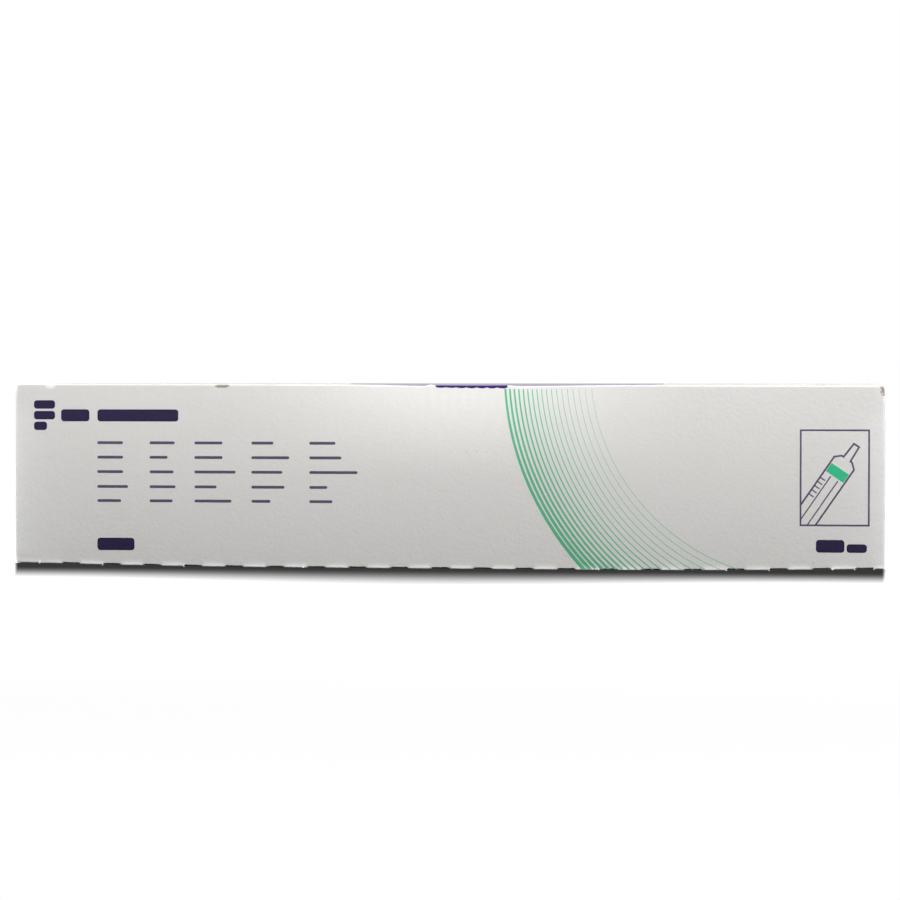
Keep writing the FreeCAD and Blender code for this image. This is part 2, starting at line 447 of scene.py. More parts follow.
def tabLength(x):
    # to the scallops: teeth that are arches of a parabola, deeper towards the right
    share = (x - tabLeft) / tab["width"]
    part = share * tab["teeth"]
    drop, depth = (tab[key][0] + (tab[key][1] - tab[key][0]) * share for key in ("drop", "toothDepth"))
    tooth = depth * (1 - (2 * (part - np.floor(part)) - 1) ** 2)
    flat = lidEdge(x) - frontY(x, frontHigh(x)) + tab["proud"] - tab["bend"]
    down = drop - tab["bend"] + tooth
    return flat + tab["bend"] * np.pi / 2 + down


def tabSheet():
    # even shares of the way to the scallops
    points = tabPath(tabX, tabLength(tabX) * np.linspace(0, 1, division["tabRows"])[None, :])
    return points, np.full(points.shape[:2], tab["paleBase"]), None, True


def endSheet(side):
    # bottom flap, fold, end panel, fold and top flap of one end
    backEnd = cornerBack - fold - (board if side < 0 else 0)
    y = np.linspace(cornerFront + fold, backEnd, division["endRows"])[:, None]
    x0, x1 = side * endX(y, endLow, side), side * endX(y, endHigh, side)
    reach = carton["endFlap"] * np.array([1.0, 0.5, 0.05])
    panelZ = endLow + (endHigh - endLow) * rise[None, :]
    down, up = turn[None, :-1], turn[None, 1:]
    flat = stack(side * (x0 - fold - reach[None, :]), y, endLow - fold)
    lower = stack(side * (x0 - fold + fold * np.sin(down)), y, endLow - fold * np.cos(down))
    face = stack(endX(y, panelZ, side), y, panelZ)
    upper = stack(side * (x1 - fold + fold * np.cos(up)), y, endHigh + fold * np.sin(up))
    flap = stack(side * (x1 - fold - reach[None, ::-1]), y, endHigh + fold - carton["apart"])
    points = np.concatenate([flat, lower, face, upper, flap], axis=1)
    wearAndHighlight = np.zeros(points.shape[:2])
    wearAndHighlight[:, 3:3 + steps] = foldPaleness(turn[:-1])
    upperAt = 3 + steps + face.shape[1]
    wearAndHighlight[:, upperAt:upperAt + steps] = foldPaleness(turn[1:])
    return points, wearAndHighlight, None, side < 0


def corner(centre, startAngle, lows, highs, paleBase):
    # an upright quarter round that carries one wall's foot and head over to the next wall's
    angle = startAngle + turn[:, None]
    share = smooth(turn[:, None] / (np.pi / 2))
    lowZ = lows[0] + (lows[1] - lows[0]) * share
    highZ = highs[0] + (highs[1] - highs[0]) * share
    z = lowZ + (highZ - lowZ) * rise[None, :]
    points = stack(centre[0] + fold * np.cos(angle), centre[1] + fold * np.sin(angle), z)
    wearAndHighlight = np.repeat(foldPaleness(turn, paleBase)[:, None], len(rise), axis=1)
    return points, wearAndHighlight, None, False


def upright():
    # the four upright folds, and the lap that the left end panel carries in under the back panel
    start, end = columnX[0], columnX[-1]
    frontLows, frontHighs = (endLow, frontLow(end)), (endHigh, frontHigh(end))
    backLows, backHighs = (endLow, lift(end) + board + fold), (endHigh, top - skin - fold)
    frontRubAndHighlight, backRub = carton["frontRubAndHighlight"], carton["backRub"]
    quarter = np.pi / 2
    lapY = cornerBack - board
    lapX = np.linspace(start + carton["lapWidth"], start, 4)[:, None]
    lapZ = endLow + (endHigh - endLow) * rise[None, :]
    lap = stack(lapX, lapY - 0.02 * (lapX > start), lapZ)
    return [
        corner((start, cornerFront + fold), -2 * quarter, frontLows, frontHighs, frontRubAndHighlight),
        corner((end, cornerFront + fold), -quarter, frontLows[::-1], frontHighs[::-1], frontRubAndHighlight),
        corner((end, cornerBack - fold), 0, backLows, backHighs, backRub),
        corner((start, lapY - fold), quarter, (endLow, endLow), (endHigh, endHigh), backRub),
        (lap, np.zeros(lap.shape[:2]), None, False),
    ]


def quadsOf(n, m):
    # the four corners of every face of an n by m grid
    index = np.arange(n * m).reshape(n, m)
    return np.stack([index[:-1, :-1], index[1:, :-1], index[1:, 1:], index[:-1, 1:]], axis=-1)


def joinGrids(grids):
    # one list of points and faces from many grids, each turned to face outwards
    points, wearAndHighlightParts, faces, count = [], [], [], 0
    for grid, wearAndHighlight, keep, flip in grids:
        quads = count + quadsOf(*grid.shape[:2])
        if flip:
            quads = quads[..., ::-1]
        quads = quads[keep] if keep is not None else quads.reshape(-1, 4)
        points.append(grid.reshape(-1, 3))
        wearAndHighlightParts.append(wearAndHighlight.ravel())
        faces.append(quads)
        count += wearAndHighlight.size
    return np.concatenate(points), np.concatenate(wearAndHighlightParts), np.concatenate(faces)


def knock(points):
    # each dent pushes what is near it, as a bell of the distance
    for place, reach, push in dents:
        away = np.linalg.norm(points - np.array(place), axis=1)
        points = points + np.exp(-(away / reach) ** 2)[:, None] * np.array(push)
    points[:, 2] = np.maximum(points[:, 2], ground)
    return points


def meshObject(name, points, faces):
    # an object at the origin from points in millimetres
    mesh = bpy.data.meshes.new(name)
    mesh.from_pydata((points * mm).tolist(), [], faces.tolist())
    piece = bpy.data.objects.new(name, mesh)
    bpy.context.scene.collection.objects.link(piece)
    return piece


def makeCarton():
    # the sheets joined and knocked, and then given the board's thickness inwards
    grids = [frontSheet(), backSheet(), tabSheet(), endSheet(1), endSheet(-1)] + upright()
    points, wearAndHighlight, faces = joinGrids(grids)
    piece = meshObject("folded_carton", knock(points), faces)
    mesh = piece.data
    # per point: how pale the sheet is, from rubbing and from painted highlights
    mesh.attributes.new("wearAndHighlight", "FLOAT", "POINT").data.foreach_set("value", wearAndHighlight)
    bm = bmesh.new()
    bm.from_mesh(mesh)
    bmesh.ops.remove_doubles(bm, verts=bm.verts, dist=0.01 * mm)
    loose = [v for v in bm.verts if not v.link_faces]
    bmesh.ops.delete(bm, geom=loose, context="VERTS")
    bm.to_mesh(mesh)
    bm.free()
    wall = piece.modifiers.new("wall", "SOLIDIFY")
    wall.thickness = board * mm
    wall.offset = -1
    wall.use_even_offset = True
    wall.use_quality_normals = True
    wall.material_offset = 1
    wall.material_offset_rim = 1
    mesh.materials.append(boardMaterial())
    mesh.materials.append(coreMaterial())
    shown = bpy.context.evaluated_depsgraph_get()
    solid = bpy.data.meshes.new_from_object(piece.evaluated_get(shown))
    piece.modifiers.clear()
    piece.data = solid
    solid.shade_smooth()
    solid.set_sharp_from_angle(angle=math.radians(32))
    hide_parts("carton")
    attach(piece, "root")
    print("carton:", len(solid.polygons), "faces")


def addNode(tree, kind, **values):
    made = tree.nodes.new(kind)
    for key, value in values.items():
        setattr(made, key, value)
    return made


def newMaterial(name):
    made = bpy.data.materials.new(name)
    made.use_nodes = True
    tree = made.node_tree
    shader = tree.nodes["Principled BSDF"]
    return made, tree, shader


def feed(tree, socket, value):
    # a link from another node's output, or a plain value set on the socket
    if isinstance(value, bpy.types.NodeSocket):
        tree.links.new(value, socket)
    else:
        socket.default_value = (*value, 1) if socket.type == "RGBA" else value


def mixColour(tree, factor, a, b):
    made = addNode(tree, "ShaderNodeMix", data_type="RGBA")
    for place, value in ((0, factor), (6, a), (7, b)):
        feed(tree, made.inputs[place], value)
    return made.outputs[2]


def maths(tree, operation, a, b=0.0, clamp=False):
    made = addNode(tree, "ShaderNodeMath", operation=operation, use_clamp=clamp)
    feed(tree, made.inputs[0], a)
    feed(tree, made.inputs[1], b)
    return made.outputs[0]


def vectors(tree, operation, a, b=(0, 0, 0)):
    made = addNode(tree, "ShaderNodeVectorMath", operation=operation)
    feed(tree, made.inputs[0], a)
    feed(tree, made.inputs[1], b)
    return made.outputs["Value" if operation in ("LENGTH", "DISTANCE") else "Vector"]


def mapRange(tree, value, inputs, outputs=(0.0, 1.0), curve="LINEAR"):
    made = addNode(tree, "ShaderNodeMapRange", interpolation_type=curve)
    labels = ("Value", "From Min", "From Max", "To Min", "To Max")
    for label, each in zip(labels, (value, *inputs, *outputs)):
        feed(tree, made.inputs[label], each)
    return made.outputs["Result"]


def objectPlace(tree):
    return addNode(tree, "ShaderNodeTexCoord").outputs["Object"]


def newGroup(name, inputs, outputs):
    tree = bpy.data.node_groups.new(name, "ShaderNodeTree")
    for label, kind, value in inputs:
        socket = tree.interface.new_socket(label, in_out="INPUT", socket_type=kind)
        if value is not None:
            socket.default_value = value
    for label, kind in outputs:
        tree.interface.new_socket(label, in_out="OUTPUT", socket_type=kind)
    return tree, addNode(tree, "NodeGroupInput"), addNode(tree, "NodeGroupOutput")


def useGroup(tree, group, **values):
    made = addNode(tree, "ShaderNodeGroup", node_tree=group)
    for key, value in values.items():
        made.inputs[key].default_value = value
    return made


def paperGroup():
    # the sheet's cloudy tone, its fine grain and the soft pimples of its coat, from the place on the object
    tree, start, end = newGroup(
        "paper",
        [
            ("Cloud Scale", "NodeSocketFloat", 160.0),
            ("Grain Scale", "NodeSocketFloat", 2600.0),
            ("Pimple Scale", "NodeSocketFloat", 560.0),
        ],
        [("Cloud", "NodeSocketFloat"), ("Grain", "NodeSocketFloat"), ("Height", "NodeSocketFloat")],
    )
    place = objectPlace(tree)
    noises = []
    for name, detail, roughness in (("Cloud", 6, 0.65), ("Grain", 2, 0.5), ("Pimple", 1, 0.5)):
        noise = addNode(tree, "ShaderNodeTexNoise")
        noise.inputs["Detail"].default_value = detail
        noise.inputs["Roughness"].default_value = roughness
        tree.links.new(place, noise.inputs["Vector"])
        tree.links.new(start.outputs[name + " Scale"], noise.inputs["Scale"])
        noises.append(noise.outputs["Fac"])
    cloud, grain, pimple = noises
    height = maths(tree, "ADD", pimple, maths(tree, "MULTIPLY", grain, boardLook["grainInRelief"]))
    for name, value in (("Height", height), ("Cloud", cloud), ("Grain", grain)):
        tree.links.new(value, end.inputs[name])
    return tree


def spotGroup():
    # a soft-edged spot round a place, its edge broken up by noise
    tree, start, end = newGroup(
        "spot",
        [
            ("Place", "NodeSocketVector", None),
            ("Reach", "NodeSocketVector", (1, 1, 1)),
            ("Ragged", "NodeSocketFloat", 0.5),
        ],
        [("Mask", "NodeSocketFloat")],
    )
    place = objectPlace(tree)
    away = vectors(tree, "SUBTRACT", place, start.outputs["Place"])
    size = vectors(tree, "LENGTH", vectors(tree, "DIVIDE", away, start.outputs["Reach"]))
    noise = addNode(tree, "ShaderNodeTexNoise")
    noise.inputs["Scale"].default_value = 900
    noise.inputs["Detail"].default_value = 3
    tree.links.new(place, noise.inputs["Vector"])
    torn = maths(tree, "SUBTRACT", noise.outputs["Fac"], 0.5)
    torn = maths(tree, "MULTIPLY", torn, start.outputs["Ragged"])
    inside = maths(tree, "SUBTRACT", 1.0, maths(tree, "ADD", size, torn))
    mask = maths(tree, "MULTIPLY", inside, 3.0, clamp=True)
    tree.links.new(mask, end.inputs["Mask"])
    return tree


def relief(tree, shader, height, depth, strength=1.0):
    # a height that changes over the surface, as a bump of that depth in mm
    bump = addNode(tree, "ShaderNodeBump")
    bump.inputs["Strength"].default_value = strength
    bump.inputs["Distance"].default_value = depth * mm
    tree.links.new(height, bump.inputs["Height"])
    tree.links.new(bump.outputs["Normal"], shader.inputs["Normal"])


boardLook = {
    "tone": (0.745, 0.735, 0.715),
    "shade": (0.700, 0.690, 0.672),
    "wornAndHighlight": (0.90, 0.90, 0.89),
    "core": (0.30, 0.255, 0.205),
    "cutDark": (0.70, 0.685, 0.655),
    "cutPale": (0.86, 0.85, 0.83),
    "cutClouds": 900,
    "cutRoughness": 0.9,
    "cutRelief": (0.05, 0.6),       # depth in mm and strength
    "speck": (0.42, 0.42, 0.42),
    "roughness": (0.49, 0.12),      # the least, and what the clouds add
    "relief": 0.09,
    "grainInRelief": 0.12,
    "thinCloudShare": 0.35,       # how much of the wear and painted highlight shows where the clouds are thinnest
    # spots: place, reach and raggedness, in mm
    "scuffs": [
        [(229.3, -75, 94.6), (2.6, 3.0, 4.8), 0.9],
        [(-117.6, -74.5, 96.0), (4.6, 2.0, 1.25), 0.5],
    ],
    # painted highlights where corners catch the light: the top left corner, and a crease at the bottom left
    # corner
    "paintedHighlights": [
        [(-210.4, -75, 95.8), (3.2, 3.0, 1.6), 0.9],
        [(-229.6, -75, 2.9), (0.7, 3.0, 0.9), 0.5],
        [(-229.0, -75, 3.7), (0.7, 3.0, 0.8), 0.5],
        [(-228.3, -75, 4.5), (0.6, 3.0, 0.7), 0.5],
    ],
    "specks": [
        [(12.6, -75, 61.5), 0.45],
        [(17.9, -75, 61.5), 0.45],
        [(23.2, -75, 61.5), 0.45],
        [(193.3, -75, 4.6), 0.55],
        [(-126.8, -75, 4.9), 0.5],
    ],
}


def addSpot(tree, colour, place, reach, ragged, tint, strength=1.0):
    # another colour laid over a place
    mark = useGroup(tree, spot, Place=[v * mm for v in place], Reach=[v * mm for v in reach], Ragged=ragged)
    return mixColour(tree, maths(tree, "MULTIPLY", mark.outputs["Mask"], strength), colour, tint)


def boardMaterial():
    # a white coat, cloudy, paler where it is rubbed and where highlights are painted, with painted highlight
    # spots, its scuffs and specks over it
    made, tree, shader = newMaterial("coatedBoard")
    grain = useGroup(tree, paper)
    colour = mixColour(tree, grain.outputs["Cloud"], boardLook["shade"], boardLook["tone"])
    # the attribute carries rubbing and painted highlights on the front's folds and edges
    wearAndHighlight = addNode(tree, "ShaderNodeAttribute", attribute_name="wearAndHighlight").outputs["Fac"]
    cloud = grain.outputs["Cloud"]
    paleShare = maths(tree, "MULTIPLY", wearAndHighlight, maths(tree, "ADD", cloud, boardLook["thinCloudShare"]), clamp=True)
    colour = mixColour(tree, paleShare, colour, boardLook["wornAndHighlight"])
    for kind, tint in (("paintedHighlights", "wornAndHighlight"), ("scuffs", "core")):
        for mark in boardLook[kind]:
            colour = addSpot(tree, colour, *mark, boardLook[tint])
    for place, size in boardLook["specks"]:
        colour = addSpot(tree, colour, place, (size, 2, size), 0.3, boardLook["speck"], 0.7)
    tree.links.new(colour, shader.inputs["Base Color"])
    least, more = boardLook["roughness"]
    rough = maths(tree, "ADD", maths(tree, "MULTIPLY", cloud, more), least)
    tree.links.new(rough, shader.inputs["Roughness"])
    relief(tree, shader, grain.outputs["Height"], boardLook["relief"])
    return made


def coreMaterial():
    # the uncoated inside of the board, which shows at every cut edge
    made, tree, shader = newMaterial("boardCore")
    grain = useGroup(tree, paper, **{"Cloud Scale": boardLook["cutClouds"]})
    colour = mixColour(tree, grain.outputs["Cloud"], boardLook["cutDark"], boardLook["cutPale"])
    tree.links.new(colour, shader.inputs["Base Color"])
    shader.inputs["Roughness"].default_value = boardLook["cutRoughness"]
    relief(tree, shader, grain.outputs["Grain"], *boardLook["cutRelief"])
    return made


inkLook = {
    # deeper tone, paler tone, roughness and how much it mirrors
    "darkPurple": [(0.010, 0.004, 0.032), (0.017, 0.009, 0.048), 0.55, 0.25],
    "mutedPurple": [(0.085, 0.062, 0.115), (0.115, 0.088, 0.150), 0.6, 0.25],
    "linePurple": [(0.088, 0.058, 0.125), (0.12, 0.088, 0.16), 0.6, 0.25],
    "lidPurple": [(0.072, 0.026, 0.165), (0.086, 0.034, 0.190), 0.28, 0.6],
    "tabPurple": [(0.046, 0.018, 0.150), (0.080, 0.046, 0.200), 0.6, 0.0],
    "bandGreen": [(0.030, 0.48, 0.235), (0.045, 0.54, 0.27), 0.5, 0.3],
}


def inkMaterial(name):
    # flat ink on the same paper, a little uneven where the grain took less of it
    dark, pale, roughness, mirror = inkLook[name]
    made, tree, shader = newMaterial(name)
    grain = useGroup(tree, paper)
    colour = mixColour(tree, grain.outputs["Cloud"], dark, pale)
    tree.links.new(colour, shader.inputs["Base Color"])
    shader.inputs["Roughness"].default_value = roughness
    shader.inputs["Specular IOR Level"].default_value = mirror
    relief(tree, shader, grain.outputs["Height"], boardLook["relief"])
    return made


# Print: thin closed layers of ink that follow the board
ink = {
    "proud": 0.03,
    "sunk": 0.02,
    "spacing": 3.0,         # length of the faces along a bar or a line
    "roundness": 0.98,      # of a bar's ends, where no radius is given
    "capPoints": 7,
    "least": 0.02,          # half width at the very end of a bar
    "step": 0.02,           # way over which a surface's slope is taken
}


def onFront(x, z):
    # the panel, and past its upper crease the start of the top fold
    end = frontHigh(x)
    angle = np.clip((z - end) / fold, 0, np.pi / 2)
    y = frontY(x, np.minimum(z, end)) + fold * (1 - np.cos(angle))
    return stack(x, y, np.minimum(z, end) + fold * np.sin(angle))


def onLid(x, y):
    # the lid's own surface
    return stack(x, y, lidZ(x, y))


def layer(surface, a, b, flip=False):
    # a closed box over a grid of the surface: outer face, inner face and four sides, all outwards
    step = ink["step"]
    middle = surface(a, b)
    along = surface(a + step, b) - surface(a - step, b)
    across = surface(a, b + step) - surface(a, b - step)
    normal = np.cross(along, across)
    normal /= np.linalg.norm(normal, axis=-1, keepdims=True)
    if flip:
        normal = -normal
    outer = middle + normal * ink["proud"]
    inner = middle - normal * ink["sunk"]
    n, m = a.shape
    index = np.arange(n * m).reshape(n, m)
    quads = quadsOf(n, m).reshape(-1, 4)
    rim = np.concatenate([index[:, 0], index[-1, 1:], index[-2::-1, -1], index[0, -2:0:-1]])
    nextRim = np.roll(rim, -1)
    sides = np.stack([rim, rim + n * m, nextRim + n * m, nextRim], axis=-1)
    faces = np.concatenate([quads, quads[:, ::-1] + n * m, sides])
    if flip:
        faces = faces[:, ::-1]
    return np.concatenate([outer.reshape(-1, 3), inner.reshape(-1, 3)]), faces


def printPiece(name, layers, material):
    # one object from many layers of the same ink
    points, faces, count = [], [], 0
    for layerPoints, layerFaces in layers:
        points.append(layerPoints)
        faces.append(layerFaces + count)
        count += len(layerPoints)
    piece = meshObject(name, np.concatenate(points), np.concatenate(faces))
    piece.data.materials.append(material)
    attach(piece, "root")
    print(name + ":", len(piece.data.polygons), "faces")


def roundedBar(surface, x0, x1, z0, z1, radius=None):
    # a rectangle whose half height falls off round each corner as a circle does
    half = (z1 - z0) / 2
    radius = half * ink["roundness"] if radius is None else radius
    cap = radius * (1 - np.cos(np.linspace(0, np.pi / 2, ink["capPoints"])))
    count = max(2, int((x1 - x0 - 2 * radius) / ink["spacing"]) + 1)
    x = np.unique(np.concatenate([x0 + cap, np.linspace(x0 + radius, x1 - radius, count), x1 - cap]))
    inset = np.clip(radius - np.minimum(x - x0, x1 - x), 0, radius)
    height = np.maximum(half - radius + np.sqrt(np.maximum(radius ** 2 - inset ** 2, 0)), ink["least"])
    rows = max(3, int(half * 2 / ink["spacing"]) + 2)
    z = (z0 + z1) / 2 + height[:, None] * np.linspace(-1, 1, rows)[None, :]
    return layer(surface, np.repeat(x[:, None], rows, axis=1), z)


title = {
    "mark": (-219.5, -208.0, 72.4, 88.3),
    "markRows": [1.0, 1.0, 0.62],   # shares of the mark's width, from its head to its foot
    "markGap": 1.2,
    "bars": [(-204.7, -189.3, 77.1, 83.5), (-184.9, -141.1, 77.1, 83.5)],
    "corner": 1.6,
}


def makeTitle():
    # three stacked bars, their right ends stepped in at the foot, and two bars beside them
    x0, x1, z0, z1 = title["mark"]
    rows = len(title["markRows"])
    tall = (z1 - z0 - title["markGap"] * (rows - 1)) / rows
    layers = []
    for i, share in enumerate(title["markRows"]):
        head = z1 - i * (tall + title["markGap"])
        layers.append(roundedBar(onFront, x0, x0 + (x1 - x0) * share, head - tall, head, title["corner"]))
    for x0, x1, z0, z1 in title["bars"]:
        layers.append(roundedBar(onFront, x0, x1, z0, z1, title["corner"]))
    printPiece("title_bars", layers, inkMaterial("darkPurple"))


names = {
    "columns": [-185.0, -156.6, -132.4, -101.8, -70.8],
    "rows": [65.8, 58.1, 50.4, 42.5, 35.0],
    "widths": [
        [14.0, 14.0, 14.0, 16.7, 12.9],
        [13.5, 9.7, 12.9, 14.0, 12.4],
        [15.1, 15.1, 22.1, 11.9, 19.9],
        [11.8, 20.3, 16.6, 17.7, 10.2],
        [13.9, 17.1, 25.7, 9.6, 12.3],
    ],
    "height": 1.5,
}


def makeNames():
    # thin bars in columns
    layers = []
    half = names["height"] / 2
    for x, widths in zip(names["columns"], names["widths"]):
        for z, width in zip(names["rows"], widths):
            layers.append(roundedBar(onFront, x, x + width, z - half, z + half))
    printPiece("name_bars", layers, inkMaterial("mutedPurple"))


amounts = {
    "count": (-185.1, -165.0, 8.6, 15.2),
    "volume": (194.5, 209.1, 10.0, 16.6),
    "unit": (210.2, 220.6, 10.0, 14.4),
    "corner": 1.6,
}


def makeAmounts():
    # rounded bars at both ends of the panel's foot
    layers = [roundedBar(onFront, *amounts[key], amounts["corner"]) for key in ("count", "volume", "unit")]
    printPiece("amount_bars", layers, inkMaterial("darkPurple"))


arcs = {
    "centre": (190.0, 108.0),
    "outermost": 158.0,
    "count": 18,
    "thick": 2.0,           # widths of the outermost and the innermost arc
    "thin": 0.4,
    "firstGap": 0.45,       # spaces between the two outermost and the two innermost arcs
    "lastGap": 3.0,
    "overFold": 1.2,        # how far they run over the top fold, in shares of its radius
    "aboveCrease": 0.05,
    "headWidth": 0.55,      # share of the width at the top, which grows to the whole at the foot
    "points": 70,
    "innerInk": (0.24, 0.56, 0.39),
    "outerInk": (0.055, 0.40, 0.20),
    "thinInk": (0.35, 0.62, 0.46),
    "thinShare": 0.3,
    "roughness": 0.45,
}


def arcRings():
    # widths fall off as a square and the gaps grow evenly from the outermost arc inwards
    share = np.linspace(0, 1, arcs["count"])
    widths = arcs["thin"] + (arcs["thick"] - arcs["thin"]) * (1 - share) ** 2
    gaps = np.linspace(arcs["firstGap"], arcs["lastGap"], arcs["count"] - 1)
    steps = (widths[1:] + widths[:-1]) / 2 + gaps
    return arcs["outermost"] - np.concatenate([[0], np.cumsum(steps)]), widths


def arcMaterial():
    # green ink, full on the outer arcs and thinning to a pale tint on the inner ones
    made, tree, shader = newMaterial("arcGreen")
    grain = useGroup(tree, paper)
    x, z = arcs["centre"]
    away = vectors(tree, "DISTANCE", objectPlace(tree), (x * mm, front * mm, z * mm))
    radii = arcRings()[0]
    share = mapRange(tree, away, (radii[-1] * mm, radii[0] * mm))
    colour = mixColour(tree, share, arcs["innerInk"], arcs["outerInk"])
    thin = maths(tree, "MULTIPLY", grain.outputs["Cloud"], arcs["thinShare"])
    tree.links.new(mixColour(tree, thin, colour, arcs["thinInk"]), shader.inputs["Base Color"])
    shader.inputs["Roughness"].default_value = arcs["roughness"]
    relief(tree, shader, grain.outputs["Height"], boardLook["relief"])
    return made


def makeArcs():
    # circles about one centre, cut off at the panel's top fold and bottom crease
    layers = []
    cx, cz = arcs["centre"]
    t = np.linspace(0, 1, arcs["points"])[:, None]
    swell = arcs["headWidth"] + (1 - arcs["headWidth"]) * t
    for radius, width in zip(*arcRings()):
        sideways = np.array([-0.5, 0.5]) * width
        r = radius + sideways[None, :]
        guessX = cx - math.sqrt(radius ** 2 - (cz - top) ** 2)
        highZ = frontHigh(guessX) + fold * arcs["overFold"]
        footX = cx - math.sqrt(radius ** 2 - cz ** 2) if radius > cz else cx
        lowZ = frontLow(footX) + arcs["aboveCrease"]
        start = np.arcsin((cz - highZ) / r)
        end = np.arcsin(np.clip((cz - lowZ) / r, -1, 1))
        angle = start + (end - start) * t
        r = radius + sideways[None, :] * swell
        layers.append(layer(onFront, cx - r * np.cos(angle), cz - r * np.sin(angle), True))
    printPiece("green_arcs", layers, arcMaterial())


def stroke(path, width, closed=False):
    # a line of even width: every point moved sideways along its mitre, half the width each way
    path = np.array(path, float)
    pieces = []
    for i in range(len(path) - 1 + closed):
        a, b = path[i], path[(i + 1) % len(path)]
        count = max(2, int(np.linalg.norm(b - a) / ink["spacing"]) + 1)
        pieces.append(a + (b - a) * np.linspace(0, 1, count)[:-1, None])
    pieces.append(path[:1] if closed else path[-1:])
    line = np.concatenate(pieces)
    ahead = np.roll(line, -1, axis=0) - line
    behind = line - np.roll(line, 1, axis=0)
    if closed:
        ahead[-1], behind[0] = ahead[0], behind[-1]
    else:
        ahead[-1], behind[0] = behind[-1], ahead[0]
    ahead /= np.linalg.norm(ahead, axis=1, keepdims=True)
    behind /= np.linalg.norm(behind, axis=1, keepdims=True)
    mitre = ahead + behind
    mitre /= np.sum(mitre * ahead, axis=1, keepdims=True)
    sideways = np.stack([-mitre[:, 1], mitre[:, 0]], axis=1) * width / 2
    a = np.stack([line[:, 0] + sideways[:, 0], line[:, 0] - sideways[:, 0]], axis=1)
    b = np.stack([line[:, 1] + sideways[:, 1], line[:, 1] - sideways[:, 1]], axis=1)
    return layer(onFront, a, b, True)


picture = {
    "frame": (186.5, 221.5, 24.1, 73.3),
    "line": 0.92,
    "fineLine": 0.644,
    "nozzleEnd": (215.1, 65.5),   # middle of the nozzle's tip
    "barrelEnd": (190.8, 30.0),   # where the barrel runs off towards the frame
    "barrelWidth": 12.2,
    "nozzleWidth": 4.2,
    "tipWidth": 3.2,
    "shoulder": 0.26,             # shares of the length from tip to barrel end
    "neck": 0.20,
    "flare": 1.5,                 # the neck's foot, in widths of the nozzle
    "band": (0.34, 0.46),
    "ticks": [0.56, 0.62, 0.68, 0.74, 0.80],
    "tickLength": 3.2,
    "tickInset": 0.2,
    "rod": [-0.3, 0.42],          # the plunger rod's edges, as shares of the barrel's half width
    "rodStart": 0.48,
}


def makePicture():
    # a slip tip syringe in outline, laid slantwise in a thin frame
    x0, x1, z0, z1 = picture["frame"]
    line, fineLine = picture["line"], picture["fineLine"]
    tip, tail = np.array(picture["nozzleEnd"]), np.array(picture["barrelEnd"])
    length = np.linalg.norm(tail - tip)
    along = (tail - tip) / length
    side = np.array([-along[1], along[0]])

    def at(share, offset):
        return tip + along * length * share + side * offset

    wide, narrow, point = picture["barrelWidth"] / 2, picture["nozzleWidth"] / 2, picture["tipWidth"] / 2
    neck, shoulder = picture["neck"], picture["shoulder"]
    flare = narrow * picture["flare"]

    def toFrame(place):
        # on from a place, along the barrel, to the frame's left or bottom line
        return place + along * min((x0 - place[0]) / along[0], (z0 - place[1]) / along[1])

    outline = [
        toFrame(at(shoulder, -wide)), at(shoulder, -wide), at(neck, -flare), at(neck, -narrow),
        at(0, -point), at(0, point), at(neck, narrow), at(neck, flare),
        at(shoulder, wide), toFrame(at(shoulder, wide)),
    ]
    lines = [stroke([(x0, z0), (x1, z0), (x1, z1), (x0, z1)], line, closed=True), stroke(outline, line)]
    for offset in picture["rod"]:
        start = at(picture["rodStart"], wide * offset)
        lines.append(stroke([start, toFrame(start)], fineLine))
    tickFrom, tickTo = picture["tickInset"] - wide, picture["tickLength"] - wide
    for share in picture["ticks"]:
        lines.append(stroke([at(share, tickFrom), at(share, tickTo)], fineLine))
    printPiece("picture_lines", lines, inkMaterial("linePurple"))
    start, end = picture["band"]
    reach = wide - fineLine
    s = np.linspace(start, end, 4)[:, None]
    o = np.linspace(-reach, reach, 7)[None, :]
    x, z = (tip[i] + along[i] * length * s + side[i] * o for i in range(2))
    printPiece("picture_stopper", [layer(onFront, x, z, True)], inkMaterial("bandGreen"))


lidField = {
    "backLeft": -70.0,
    "frontLeft": -10.0,
    "right": 110.0,
    "columns": 140,
    "tabRows": 14,
    "marks": [(194.5, 207.5, -66.0, -62.0), (194.5, 203.0, -58.5, -56.5)],
}


def makeLidField():
    # a field whose left side sweeps back in a quarter wave, and the tab in front of it
    share = np.linspace(0, 1, lidField["columns"])[:, None]
    deep = 1 - lidRows[None, ::-1]
    near, far = lidField["frontLeft"], lidField["backLeft"]
    sweep = near + (far - near) * np.sin(deep * np.pi / 2)
    x = sweep + (lidField["right"] - sweep) * share
    edge = lidEdge(x)
    y = edge + (cornerBack - fold - edge) * deep
    printPiece("lid_field", [layer(onLid, x, y)], inkMaterial("lidPurple"))
    s = tabLength(tabX) * np.linspace(0, 1, lidField["tabRows"])[None, :]
    x = np.repeat(tabX, lidField["tabRows"], axis=1)
    printPiece("tab_field", [layer(tabPath, x, s, True)], inkMaterial("tabPurple"))
    marks = [roundedBar(onLid, *mark) for mark in lidField["marks"]]
    printPiece("lid_marks", marks, inkMaterial("mutedPurple"))


